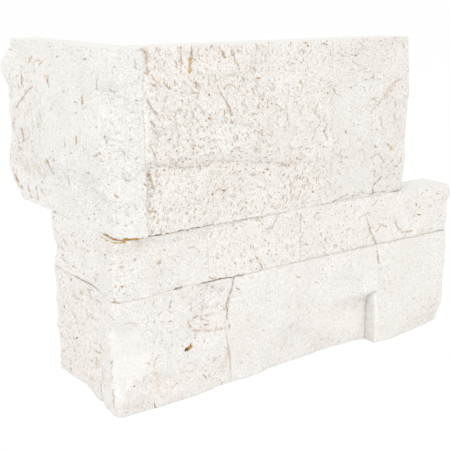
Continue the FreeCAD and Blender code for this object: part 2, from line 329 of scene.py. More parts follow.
def worn(seed, along, up, from_edge, wear):
    """Loss at an edge: steepest at the edge, uneven along it, with a larger chip here and there."""
    large = np.maximum(0, 4 * grain(seed + 1, 4.1, along, up) - 2)
    chips = np.maximum(0.6 + 0.5 * grain(seed, 2.3, along, up) + large, 0.1)
    return wear * chips * np.maximum(0, 1 - from_edge / (edge_reach * np.maximum(chips, 0.5))) ** 1.5


def leg_skin(seed, leg, foot, top, near, far, proud, broken=None):
    """Skin of a stone on one leg, 1 for the front and -1 for the return: (x, y, up, along, bare).

    Rows go from the foot up, and columns from near to far. The along stored is the place for marks
    and beds: it is 0 at a broken arris. bare is 1 where the arris is broken away, and 0 elsewhere.
    """
    height = top - foot
    rise, share = np.meshgrid(even_shares(height), even_shares(float(far(0.5) - near(0.5))), indexing="ij")
    distance = near(rise) + share * (far(rise) - near(rise))
    up = foot + rise * height
    along = leg * distance
    face = proud(along, up, leg * share, rise)
    from_joint = far(rise) - distance
    if broken is None:
        out, bare = face, 0 * face
        from_joint = np.minimum(from_joint, distance - near(rise))
    else:
        limit = broken(distance, rise)
        out, bare = np.minimum(face, limit), np.clip(1.5 * (face - limit), 0, 1)
    out = out - worn(seed + 7, along, up, np.minimum(up - foot, top - up), bed_edge_wear)
    out = out - worn(seed + 9, along, up, from_joint, joint_edge_wear)
    from_arris = arris_reach * (distance - near(rise)) / (arris_reach - near(rise))
    along = leg * np.where(distance < arris_reach, from_arris, distance)
    x, y = distance - return_thickness, -front_thickness - out
    if leg < 0:
        x, y = -return_thickness - out, distance - front_thickness
    return np.stack([x, y, up, along, bare], axis=-1)


def corner_skin(seed, foot, top, return_end, front_end, proud, arris, chipping):
    """Grid of a stone that shows on both legs, from its return end round the corner.

    The arris is broken along a line in plan from a point on the front to one on the return, with
    the grain of the stone times chipping on it. The corner column lies half way along that line.
    """
    height = top - foot

    def proud_arris(rise):
        return proud(0.0 * rise, foot + rise * height, 0.0 * rise, rise, smooth=True)

    def near(leg):
        """Where a leg's run starts: half its share of the break, from the unbroken arris."""
        return lambda rise: arris(rise)[::leg][0] / 2 - proud_arris(rise)

    def broken(leg):
        """How proud the broken face stands, as seen from one leg."""
        def limit(distance, rise):
            reach, into = arris(rise)[::leg]
            start = proud_arris(rise)
            rough = chipping * crumble(seed + 3, leg * distance, foot + rise * height)
            return start - into * (1 - (distance + start) / reach) + rough * np.clip(into / 4, 0, 1)
        return limit

    front = leg_skin(seed, 1, foot, top, near(1), front_end, proud, broken(1))
    side = leg_skin(seed, -1, foot, top, near(-1), return_end, proud, broken(-1))
    corner = front[:, :1].copy()
    corner[..., 0] = side[:, :1, 0]
    corner[..., 3] = 0.0
    return np.concatenate([side[:, :0:-1], corner, front[:, 1:]], axis=1)


def closed_rings(name, rings):
    """Closed mesh through rings of points, from the lowest up, with a polygon at foot and head."""
    rows, around = rings.shape[:2]
    index = np.arange(rows * around).reshape(rows, around)
    after = np.roll(index, -1, axis=1)
    quads = np.stack([index[:-1], after[:-1], after[1:], index[1:]], axis=-1).reshape(-1, 4)
    mesh = bpy.data.meshes.new(name)
    points = np.clip(rings * MM, cad_low, cad_high).reshape(-1, 3)
    mesh.from_pydata(points, [], quads.tolist() + [index[0][::-1].tolist(), index[-1].tolist()])
    piece = bpy.data.objects.new(name, mesh)
    scene.collection.objects.link(piece)
    return piece


def paint(piece, colours):
    """Stores a colour for each point of a mesh, which its material mixes in by its alpha."""
    store = piece.data.color_attributes.new("marks", "FLOAT_COLOR", "POINT")
    store.data.foreach_set("color", colours.ravel())


def split_stone(name, skin, wall, split, marks, behind=(-1, 0), fresh=line((0, 0)), broken_first=False,
                broken_last=False):
    """A stone: its split skin, with marks painted on, and its sawn sides, back and beds.

    Its back corners lie behind these columns of the skin, on the wall's plane x = 0 or y = 0.
    fresh gives how clear of marks a broken arris shows, at a height. The end at the skin's first or
    last column may be broken as the face is, and not sawn.
    """
    back = skin[:, list(behind), :3].copy()
    back[..., "xy".index(wall)] = 0
    piece = closed_rings(name, np.concatenate([skin[..., :3], back], axis=1))
    rows, columns = skin.shape[:2]
    on_skin = np.arange(columns + back.shape[1]) < columns - 1
    on_skin[-1] = broken_first
    on_skin[columns - 1] = broken_last
    on_skin = np.append(np.tile(on_skin, rows - 1), [False, False])
    piece.data.materials.append(split)
    piece.data.materials.append(sawn)
    piece.data.polygons.foreach_set("material_index", np.where(on_skin, 0, 1))
    piece.data.polygons.foreach_set("use_smooth", on_skin)
    along, up = skin[..., 3], skin[..., 2]
    colours = np.zeros(skin.shape[:2] + (4,))
    clear = (linear("#F6F3F0"), lambda along, up: fresh(up) * skin[..., 4])
    for colour, strength_at in [clear] + marks:
        strength = strength_at(along, up)[..., None]
        cover = colours[..., 3:]
        total = strength + cover * (1 - strength)
        mixed = np.array(colour[:3]) * strength + colours[..., :3] * cover * (1 - strength)
        colours = np.concatenate([mixed / np.maximum(total, 1e-6), total], axis=-1)
    paint(piece, np.concatenate([colours, np.zeros(back.shape[:2] + (4,))], axis=1))
    return piece


def limestone(name, seed, hash=0.1, shells=0.1, grit_and_pit_shade=0.5, cream=0.3, pale="#FBF9F7", warm="#F3EEE8"):
    """Split shell limestone: a chalky cream ground, with shells and shell hash cut through as tan marks.

    To the eye it is matt and finely gritty, pale with warm clouds. hash, shells, grit and cream give
    how much of each a stone shows, from 0 to 1, and pale and warm its ground. The grit is darkest in
    the pits of the fine bump: partly the stone's own grit, partly painted shade in those pits. Sizes
    are in mm.
    """
    material, tree = new_material("shell_limestone_" + name)
    place = add(tree, "TexCoord").outputs["Object"]
    place = add(tree, "Mapping", {"Vector": place, "Location": (seed * 31.0, seed * 17.0, seed * 7.0),
                                  "Scale": (1 / MM, 1 / MM, 1 / MM)})

    def spots(size, detail=2.0):
        return add(tree, "TexNoise", {"Vector": place, "Scale": 1 / size, "Detail": detail})

    def ramp(value, low, high, start=0.0, end=1.0):
        """Maps low to high onto start to end, smoothly and clamped."""
        return add(tree, "MapRange", {0: value, 1: low, 2: high, 3: start, 4: end},
                   interpolation_type="SMOOTHSTEP")

    def maths(operation, *values):
        return add(tree, "Math", dict(enumerate(values)), operation=operation)

    def vectors(operation, *values):
        return add(tree, "VectorMath", dict(enumerate(values)), operation=operation).outputs

    def tint(amount, under, over):
        return add(tree, "Mix", {0: amount, 6: under, 7: over}, data_type="RGBA").outputs[2]

    warp = vectors("SUBTRACT", spots(1.1).outputs["Color"], (0.5, 0.5, 0.5))[0]
    bent = vectors("MULTIPLY_ADD", warp, (0.7, 0.7, 0.7), place)[0]

    def cut_shells(size, radius, thickness, curl, amount):
        """One thin bowl-shaped disc to a cell, turned at random and cut by the split face.

        Gives (where a disc is cut, a random value of its own). amount is the share of cells with one.
        """
        cells = add(tree, "TexVoronoi", {"Vector": bent, "Scale": 1 / size})
        own = add(tree, "SeparateColor", {0: cells.outputs["Color"]})
        local = vectors("SUBTRACT", bent, cells.outputs["Position"])[0]
        turn = vectors("MULTIPLY", cells.outputs["Color"], (6.28, 6.28, 6.28))[0]
        local = add(tree, "VectorRotate", {"Vector": local, "Rotation": turn},
                    rotation_type="EULER_XYZ")
        out = vectors("LENGTH", vectors("MULTIPLY", local, (1 / radius, 1 / radius, 0))[0])[1]
        out = maths("MULTIPLY", out, out)
        deep = add(tree, "SeparateXYZ", {0: local}).outputs[2]
        deep = maths("DIVIDE", maths("MULTIPLY_ADD", out, -curl, deep), thickness)
        inside = maths("MULTIPLY_ADD", deep, deep, out)
        chosen = maths("LESS_THAN", own.outputs[0], amount)
        strong = maths("MULTIPLY", chosen, ramp(own.outputs[2], 0.1, 0.9, 0.2, 1.0))
        return maths("MULTIPLY", ramp(inside, 1.1, 0.5), strong), own.outputs[1]

    clusters = ramp(spots(11.0), 0.35, 0.65, 0.7, 1.0)
    small, small_own = cut_shells(1.2, 0.7, 0.26, 0.1, maths("MULTIPLY", clusters, 1.3 * hash))
    middle, middle_own = cut_shells(2.9, 1.6, 0.32, 0.4, maths("MULTIPLY", clusters, 1.3 * shells))
    large, large_own = cut_shells(8.0, 4.0, 0.4, 1.4, 0.6 * shells)
    ground = tint(ramp(spots(22.0), 0.35, 0.65, 0.0, cream), linear(pale), linear(warm))
    fine = spots(0.7, 3.0)
    # Fine grit, darker where the fine noise is low, which is where the bump below sinks: partly the stone's
    # own grit, partly painted shade in the pits
    colour = tint(ramp(fine, 0.60, 0.34, 0.0, grit_and_pit_shade), ground, linear("#D8D0C4"))
    for found, own in ((small, small_own), (middle, middle_own), (large, large_own)):
        shade = tint(maths("POWER", own, 4.0), linear("#D9C9B3"), linear("#B07C3C"))
        colour = tint(found, colour, shade)
    mark = add(tree, "Attribute", attribute_name="marks")
    colour = tint(mark.outputs["Alpha"], colour, mark.outputs["Color"])
    height = maths("MULTIPLY_ADD", maths("ADD", small, middle), -0.2, fine)
    bump = add(tree, "Bump", {"Strength": 1.0, "Distance": 0.85 * MM, "Height": height})
    surface = add(tree, "BsdfPrincipled", {"Base Color": colour, "Normal": bump, "IOR": 1.5,
                                           "Roughness": ramp(spots(3.0), 0.3, 0.7, 0.78, 0.92)})
    add(tree, "OutputMaterial", {"Surface": surface})
    return material


# The same stone cut by a diamond saw: smooth and a little grey, with faint lines from the blade
sawn, tree = new_material("sawn_limestone")
place = add(tree, "TexCoord").outputs["Object"]
mottle = add(tree, "TexNoise", {"Vector": place, "Scale": 1 / (6 * MM), "Detail": 4.0})
blade = add(tree, "TexWave", {"Vector": place, "Scale": 1 / (40 * MM), "Distortion": 1.5},
            bands_direction="Z").outputs[1]
grey = add(tree, "Mix", {0: mottle, 6: linear("#E9E7E3"), 7: linear("#DFDDD8")},
           data_type="RGBA").outputs[2]
bump = add(tree, "Bump", {"Strength": 0.2, "Distance": 0.1 * MM, "Height": blade})
rough = add(tree, "MapRange", {0: mottle, 1: 0.3, 2: 0.7, 3: 0.55, 4: 0.75})
surface = add(tree, "BsdfPrincipled", {"Base Color": grey, "Normal": bump, "Roughness": rough})
add(tree, "OutputMaterial", {"Surface": surface})

# Colours of the stones' marks
DIRT = "#A68E74"
SHELL = "#C0A382"
RUST = "#B87C30"
BROWN = "#AA8254"
TAN = "#B0916C"
SAND = "#B28E64"
DARK = "#6C5038"

# Where the outside of the return meets the front stones, and the other way round
front_lap = joint(front_thickness)
return_lap = joint(return_thickness)

# Corner stone of the lower course, a limestone strip split on its face and sawn on its other sides.
# It runs through to the return face, where the return stone is glued behind it. Its arris has a
# large smooth break under a lip, and an iron-stained pit and the arc of a shell mark its face.
lower_corner_line = joint(57.6, line((0, -1), (0.25, -1.6), (0.5, -4.4), (0.62, -4), (1, 0)))
arris = broken_arris(
    2.2, 14, 3,
    line((0.14, 0), (0.24, 0.2), (0.3, 0.8), (0.35, 1), (0.5, 1), (0.66, 0.85), (0.75, 0.6), (0.81, 0.3),
         (0.83, 0)),
    line((0.12, 0), (0.24, 0.3), (0.33, 0.8), (0.5, 1), (0.8, 1), (0.83, 0)))
# It swells out from its joint on the return, round the arris
corner_bulge = line((-1, 0), (-0.2, 1), (0.35, 1), (0.7, 0))
pit = stroke("#5E3300", 4, 1.9, [(32, 21.8), (32.5, 21.9)], whole=1)
joint_crack = stroke("#B08C5E", 1, 0.6, [(57.4, 49.5), (55.8, 43), (54, 37.3), (54, 31.7), (55.6, 25.2)])
# Dirt along the edges of the bed over this course
lower_seam = [
    stroke("#8C7248", 0.5, 0.3, [(-58, 50), (-13, 50)], whole=0.8),
    stroke(SAND, 0.8, 0.5, [(-3, 50), (1, 50)], whole=1),
    stroke("#C8A882", 0.4, 0.3, [(1, 50), (14, 50)], whole=0.2),
    stroke("#8C6C3C", 1, 0.6, [(27.2, 50.3), (30.2, 50.4)], whole=1),
    stroke("#8C6C3C", 1, 0.5, [(40, 50), (62, 50)], whole=0.8),
    stroke("#C4AA88", 0.4, 0.3, [(62, 50), (150, 50)], whole=0.3),
    stroke(SAND, 0.6, 0.5, [(150, 50), (192, 50)], whole=0.1)]
proud = split_face(
    11, 0.55, 0.35,
    patch(2.6, corner_bulge, line((0, 0.3), (0.35, 1))),
    swell(0, 0.02, 0.9, 0.4, 2.2),
    swell(0.8, 0.62, 0.24, 0.4, -1.8),
    swell(0.7, 0, 0.2, 0.2, 1.2),
    cuts=[(0.2, pit), (0.15, joint_crack)])
lower_corner = corner_skin(11, 0, lower_top, front_lap, lower_corner_line, proud, arris, 0.1)
marks = [
    *lower_seam, pit, joint_crack,
    stroke("#C8860A", 4, 1.6, [(33.8, 22.3), (34.5, 22.6)], whole=1),
    flecks(211, "#B4926C", 0.6, (2.4, 0.7), 35, (36, 27), (56, 48)),
    flecks(212, SHELL, 0.5, (2, 0.6), 100, (-16, 2), (-9, 44)),
    flecks(213, DIRT, 0.35, (1.6, 0.5), 20, (16, 2), (57, 22), 0.25),
    flecks(214, DIRT, 0.5, (1.8, 0.5), 30, (9, 27), (24, 39), 0.4),
    stroke("#BC9A74", 0.65, 1.2,
           [(33.1, 34.7), (34.1, 31.7), (36.6, 29.3), (40.7, 27.4), (45.5, 26.8), (54, 26.4)], whole=0.2),
    stroke(BROWN, 0.8, 1, [(36.2, 34.9), (45, 33.9)]),
    stroke(BROWN, 0.75, 0.9, [(40.8, 33.4), (45, 31.6)]),
    stroke(SHELL, 0.6, 0.7, [(41.5, 32.5), (42.6, 42.3)], [(48.3, 38.4), (51.5, 38.6)],
           [(45.8, 46.2), (48.9, 46.5)]),
    stroke(DARK, 0.75, 0.8, [(23.2, 43), (24.2, 45.8)], [(19, 29.7)], [(42.8, 22.3)],
           [(47.5, 13.6), (49.7, 14.5)]),
    stroke("#DDB07C", 0.35, 1.6, [(16.6, 14.9), (16.4, 7.6)], whole=0.3),
    stroke("#E0BC94", 0.4, 2.4, [(55.3, 16.1), (52.5, 8.2)], whole=0.3),
    stroke(SHELL, 0.35, 0.6, [(28.1, 12.9), (43.6, 9.3)]),
    stroke(DARK, 0.55, 0.8, [(9, 4.6), (11, 5.5)]),
    stroke("#D9B080", 0.45, 1, [(5.5, 3.5), (8, 4)]),
    stroke(SHELL, 0.7, 0.7, [(13.3, 16.3), (15.3, 18)]),
    stroke("#C9A97E", 0.5, 1.6, [(43.8, 14.1)]),
    stroke("#EBE4DC", 0.6, 6, [(2.5, 4), (10, 5.5)], whole=1),
    # Painted highlight: a white streak where the lamp catches the broken arris above the toe
    stroke("#FFFFFF", 0.8, 1.3, [(-1.6, 14.5), (0.4, 9.5)], whole=0.8),
    stroke("#B88F5E", 0.8, 0.6, [(-1.6, 12.5), (-1.4, 4)], whole=0.5),
    # Painted shadow: thin grey lines under the lip over the smooth break, on both legs
    stroke("#A89A8A", 0.6, 0.6, [(-4, 43.8), (-0.4, 43.2)], whole=0.6),
    stroke("#B5A796", 0.6, 0.7, [(2.5, 41.6), (7, 39.6)], whole=0.6),
    # Painted highlight: a near-white patch on the return side of the broken arris, under the lip
    stroke("#FBF8F4", 0.7, 2.6, [(-3, 35), (-2.5, 27.5)]),
]
stone = split_stone(
    "lower_corner_split_stone", lower_corner, "y", limestone("lower_corner", 1, shells=0.08), marks,
    behind=[-1], fresh=line((15, 0), (17.5, 0.9), (39.5, 0.9), (41, 0)))
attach(stone, "root")
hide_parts("lower_corner_stone")

# Middle stone of the lower course, a calm pale limestone strip glued between the corner stone and the
# right one. It leans back to its foot and steps back under a ledge at its lower right.


def shelf(edge, proud, width=0.07):
    """A step: the face above the edge stands proud of the face below it."""
    return lambda share, rise: proud * np.clip(0.5 + (rise - edge(share)) / width, 0, 1)


def lean(foot, head):
    """The face leans: it is proud by foot at the bottom and by head at the top."""
    return lambda share, rise: foot + (head - foot) * rise


lower_front_line = joint(142, line((0.5, 0), (0.6, 3), (1, 1)))
proud = split_face(
    23, 0.55, 0.3,
    shelf(line((0, 0.02), (0.25, 0.4), (1, 0.62)), 2.2, 0.5),
    patch(-2.6, line((0.6, 0), (0.92, 1)), line((0.44, 1), (0.54, 0))),
    patch(2.7, line((0.75, 0), (1, 1)), line((0.46, 0), (0.54, 1), (1, 0))),
    swell(0.6, 0, 0.42, 0.45, -3),
    swell(0, 0.4, 0.2, 0.5, -1),
    lean(-0.8, -1.6),
    cuts=[(0.15, joint_crack)])
lower_middle = leg_skin(23, 1, 0, lower_top, lower_corner_line, lower_front_line, proud)
marks = [
    *lower_seam,
    # Painted light: a wide near-white wash that lifts the shade under the ledge at the lower right
    stroke("#FFFBF6", 0.7, 16, [(112, 18), (136, 12)], whole=1),
    joint_crack,
    stroke(DIRT, 0.4, 0.7, [(141.6, 24), (141.8, 1)], whole=0.3),
    flecks(221, SHELL, 0.35, (2.4, 0.7), 15, (100, 2), (140, 26), 0.3),
    flecks(223, "#E2C7A4", 0.4, (3, 1.6), 60, (60, 2), (140, 46), 0.1),
    flecks(222, DIRT, 0.25, (1.8, 0.6), -10, (60, 2), (140, 46), 0.15),
]
stone = split_stone(
    "lower_middle_split_stone", lower_middle, "y", limestone("lower_middle", 2, hash=0.03, shells=0.03),
    marks)
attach(stone, "root")
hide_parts("lower_front_middle_stone")

# Right stone of the lower course, a limestone strip glued to the end of the middle one. It stands
# proud of it, so its broken left end shows, and its right end is broken too.
lower_front_end = joint(194, line((0, -1.2), (0.15, -0.2), (0.9, 0.2), (1, 0)))
proud = split_face(
    31, 0.45, 0.3,
    patch(2.6, line((0, 1), (0.6, 0.8), (1, 0)), line((0, 1), (0.5, 0.8), (1, 0.2))),
    swell(0.3, 0, 0.5, 0.6, 1.6),
    swell(0.62, 0, 0.3, 0.14, -1.6),
    swell(1, 0, 0.2, 0.2, -2.2))
lower_right = leg_skin(31, 1, 0, lower_top, lower_front_line, lower_front_end, proud)
marks = [
    *lower_seam,
    # Painted highlight along the lit left end of the stone, where it stands proud of the middle one
    stroke("#FFFCF8", 1, 2.2, [(142.2, 25), (142.2, 0)], whole=1),
    stroke(SHELL, 0.5, 0.8, [(147, 36.5), (148, 36)]),
    stroke(BROWN, 0.8, 1, [(143.7, 49), (145, 41)], whole=0.5),
    flecks(231, SHELL, 0.3, (2, 0.7), 60, (144, 5), (170, 40), 0.2),
    flecks(232, SHELL, 0.5, (2.2, 0.7), 60, (144, 22), (152, 43), 0.35),
    flecks(233, TAN, 0.5, (2.4, 0.6), 10, (165, 2), (192, 20), 0.35),
    stroke(SAND, 0.6, 1, [(184, 9), (192, 11)]),
]
stone = split_stone(
    "lower_right_split_stone", lower_right, "y",
    limestone("lower_right", 3, hash=0.02, shells=0.02, pale="#FAF8F5"), marks, broken_first=True,
    broken_last=True)
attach(stone, "root")
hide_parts("lower_front_right_stone")

# Return stone of the lower course, a limestone strip split on its face, densely flecked, and glued
# against the back of the corner stone. Its far end is broken.
lower_return_end = joint(60, line((0, -0.6), (0.4, 0), (0.9, 1.2), (1, 0.6)))
proud = split_face(
    11, 0.6, 0.35,
    lean(-1, -0.3),
    swell(0, 0.1, 0.4, 0.5, 1.2))
# Its columns go from the far end inwards
lower_return = leg_skin(43, -1, 0, lower_top, front_lap, lower_return_end, proud)[:, ::-1]
marks = [
    *lower_seam,
    flecks(241, "#C4A276", 0.6, (2.8, 0.6), 75, (-60, 4), (-16, 48), 0.4),
    flecks(242, RUST, 0.4, (1.4, 0.6), 40, (-60, 10), (-16, 46), 0.1),
    stroke(BROWN, 0.65, 0.7, [(-18.1, 25.4), (-16, 23.5)]),
    stroke(BROWN, 0.65, 0.7, [(-22.2, 21.2), (-16, 22.3)]),
    stroke(SHELL, 0.7, 0.8, [(-24.7, 47.1), (-24.1, 42.7)], [(-42.5, 43.4), (-37.9, 40.1)]),
    stroke(DARK, 0.45, 0.6, [(-27.3, 48), (-21, 49)]),
]
stone = split_stone(
    "lower_return_split_stone", lower_return, "x",
    limestone("lower_return", 4, hash=0.16, shells=0.12, pale="#FAF7F4"), marks, broken_first=True)
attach(stone, "root")
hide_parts("lower_return_stone")

# Corner stone of the thin middle course, a limestone strip sawn 25 mm high and split on its face. It
# runs through to the return face and swells out at its foot.
middle_corner_line = joint(44, line((0, 0.6), (1, -0.6)))
# Resin and dirt along the edges of the bed over this course
upper_seam = [
    stroke("#C2921C", 3, 0.9, [(-12, 75), (-1, 75), (11, 75)], whole=1),
    stroke("#7E5E34", 1.4, 0.7, [(14.2, 75), (46, 75)], whole=0.8),
    stroke(SAND, 0.4, 0.3, [(46, 75), (92, 75)], whole=0.1),
    stroke("#8C7248", 0.3, 0.3, [(102, 75), (116, 75)]),
    stroke(SAND, 0.5, 0.3, [(116, 75), (158, 75)])]
foot_wear = line((0, 1), (0.5, 0))
arris = broken_arris(1.4, 1, 1, foot_wear, foot_wear)
proud = split_face(
    61, 0.55, 0.35,
    patch(2.4, corner_bulge, line((0, 1), (0.5, 0.7), (1, 0))),
    swell(-0.3, 0.4, 0.9, 0.8, 1))
middle_corner = corner_skin(57, middle_foot, middle_top, front_lap, middle_corner_line, proud, arris, 0.3)
marks = [
    # Painted shadow: a grey wash under the overhang of the upper course at the corner
    stroke("#E4DDD2", 0.45, 6, [(-5, 71.5), (10, 71.5)], whole=1),
    # Painted light: a near-white band that lifts the shade under the overhang of the upper left stone
    stroke("#FFFCF8", 0.7, 3, [(16, 73.4), (43, 73.4)], whole=1),
    *lower_seam, *upper_seam,
    flecks(251, DIRT, 0.5, (1.6, 0.6), 20, (-8, 66), (12, 75)),
    stroke(DARK, 0.7, 1.2, [(7.7, 67)]),
    stroke("#B88F5E", 0.9, 1.4, [(2.6, 65)]),
    stroke(SHELL, 0.7, 1.4, [(18, 63.2), (19.4, 63.6)]),
    stroke(TAN, 0.8, 1.2, [(22.3, 67.9)], [(34.6, 67), (37.9, 66.5)]),
    stroke(DARK, 0.55, 0.6, [(-6.7, 66.3)]),
]
stone = split_stone(
    "middle_corner_split_stone", middle_corner, "y",
    limestone("middle_corner", 5, hash=0.08, shells=0.07, grit_and_pit_shade=0.6, pale="#FAF8F6"), marks, behind=[-1])
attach(stone, "root")
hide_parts("middle_corner_stone")

# Left stone of the middle course, a short limestone strip of the same height, split on its face and
# glued between the corner stone and the long right one.
middle_front_line = joint(95.4, line((0, -0.4), (0.5, 0.5), (1, 0)))
proud = split_face(61, 0.55, 0.35, swell(0.5, 0.4, 0.5, 0.6, 0.8))
middle_left = leg_skin(61, 1, middle_foot, middle_top, middle_corner_line, middle_front_line, proud)
marks = [
    *lower_seam, *upper_seam,
    flecks(261, TAN, 0.65, (2.2, 0.6), 100, (46, 51), (94, 74), 0.3),
    stroke(SHELL, 0.9, 0.7, [(95.2, 73), (95.8, 62.6), (95.4, 51.2)], whole=0.2),
    stroke(BROWN, 0.6, 0.8, [(70.6, 74.4), (74, 69.3), (78.5, 68.6), (81.2, 73.3)], whole=0.3),
    stroke(BROWN, 0.7, 0.8, [(69.1, 57.2), (73.1, 50.6)], whole=0.4),
]
stone = split_stone(
    "middle_left_split_stone", middle_left, "y",
    limestone("middle_left", 6, hash=0.13, shells=0.2, pale="#FBF8F5"), marks)
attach(stone, "root")
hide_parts("middle_front_left_stone")

# Long right stone of the middle course, a limestone strip split on its face and at its right end. Its
# bare end carries the ledge beside the upper course, with shells cut through as brown lines.
middle_front_end = joint(194, line((0, -0.8), (0.5, -1.4), (0.66, -1.2), (0.72, 0.4), (0.85, -0.2),
                                   (1, -1.6)))
proud = split_face(
    61, 0.55, 0.35,
    swell(0.5, 0.4, 0.1, 0.6, -1.2),
    swell(0.75, 0.45, 0.09, 0.4, -1.8),
    swell(1, 0.85, 0.25, 0.5, 1))
middle_right = leg_skin(73, 1, middle_foot, middle_top, middle_front_line, middle_front_end, proud)
marks = [
    *lower_seam, *upper_seam,
    flecks(271, TAN, 0.6, (2.2, 0.6), 105, (96, 51), (135, 74), 0.25),
    flecks(272, RUST, 0.4, (1.4, 0.7), 20, (96, 52), (110, 62), 0.4),
    stroke(BROWN, 0.6, 0.8, [(135.4, 66.2), (139.8, 59)], whole=0.5),
    stroke(BROWN, 0.8, 1.2, [(139.8, 59), (144.3, 50.7)], whole=0.8),
    stroke(BROWN, 0.7, 0.9, [(144.7, 56.3), (147.9, 59.3), (151.4, 57.8)],
           [(156.2, 59.6), (159.2, 55.5), (162.2, 53.5), (168.7, 53.5)], whole=0.3),
    stroke("#FEFCFA", 0.8, 6, [(161.4, 64.3), (164.5, 57)]),
]
stone = split_stone(
    "middle_right_split_stone", middle_right, "y",
    limestone("middle_right", 7, hash=0.13, shells=0.18, pale="#FBF8F5"), marks, broken_last=True)
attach(stone, "root")
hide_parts("middle_front_right_stone")

# Return stone of the middle course, a short limestone strip glued against the back of the corner
# stone. Its face leans back, and its far end is broken.
middle_return_end = joint(60, line((0, 0.4), (0.35, -1.2), (0.7, 0.6), (1, 1.4)))
proud = split_face(61, 0.55, 0.35, swell(-1, 0.85, 0.5, 0.5, 1), lean(-0.3, -1))
middle_return = leg_skin(83, -1, middle_foot, middle_top, front_lap, middle_return_end, proud)[:, ::-1]
marks = [
    *lower_seam, *upper_seam,
    flecks(281, TAN, 0.65, (2, 0.6), 110, (-60, 51), (-30, 74), 0.25),
    stroke(SHELL, 0.8, 1, [(-53, 59.8), (-48.9, 59.4)], [(-50.4, 64.5), (-46.5, 62.7)]),
    stroke(DARK, 0.55, 0.9, [(-51.4, 55.5), (-48.4, 54.6)]),
    stroke(SHELL, 0.8, 1, [(-45.6, 61.1)]),
    stroke(DARK, 0.45, 0.6, [(-23.2, 62.5)]),
]
stone = split_stone(
    "middle_return_split_stone", middle_return, "x", limestone("middle_return", 8), marks,
    broken_first=True)
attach(stone, "root")
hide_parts("middle_return_stone")

# Return stone of the upper course, a limestone block 75 mm high. It runs through to the front face,
# with a broken arris, a shelf across its lower third and a ragged far end. A cut shell curves across
# its far top.
upper_return_end = joint(97, line((0, -3), (0.08, 2), (0.2, 5.5), (0.27, 3.5), (0.36, 2), (0.45, 3),
                                  (0.55, 2.4), (0.62, 1.6), (0.72, 2), (0.8, 6), (0.88, 3.6), (1, 0)))
crease = stroke("#B9A88F", 0.4, 0.6, [(-80.3, 101.5), (-72.9, 98), (-58.8, 97.8), (-46.7, 96.7),
                (-41.2, 92.3), (-29.5, 93.9), (-18.7, 92.1), (-10.1, 90.4), (-1.8, 89.5),
                (6, 86)], whole=-0.4)
fold = stroke("#B9A88F", 0.4, 0.5, [(-3, 117), (1.5, 115), (6, 114.6), (12, 115.6)])
arris = broken_arris(
    1, 4, 9,
    line((0.15, 0.2), (0.3, 0.7), (0.6, 1), (0.78, 0.9), (0.84, 0)),
    line((0, 0.1), (0.15, 0.2), (0.3, 0.6), (0.6, 1), (0.78, 0.7), (0.84, 0)))
proud = split_face(
    97, 0.5, 0.45,
    swell(-1, 0.82, 0.16, 0.12, 2.4),
    swell(-1, 0.22, 0.22, 0.17, 2.2),
    swell(-0.95, 0.5, 0.22, 0.2, 1.2),
    shelf(line((-0.62, 0.25), (-0.2, 0.29), (0, 0.18)), 1.6),
    swell(-0.08, 0.5, 0.14, 0.2, 1.8),
    patch(3, line((0, 0), (0.5, 1)), line((0, 1), (0.35, 0))),
    patch(0.9, line((-1, 1), (0, 0)), line((0, 1), (0.2, 0))),
    lean(-1, -1.4),
    cuts=[(0.6, crease), (0.6, fold)])
upper_return = corner_skin(97, upper_foot, upper_top, upper_return_end, return_lap, proud, arris, 0.6)
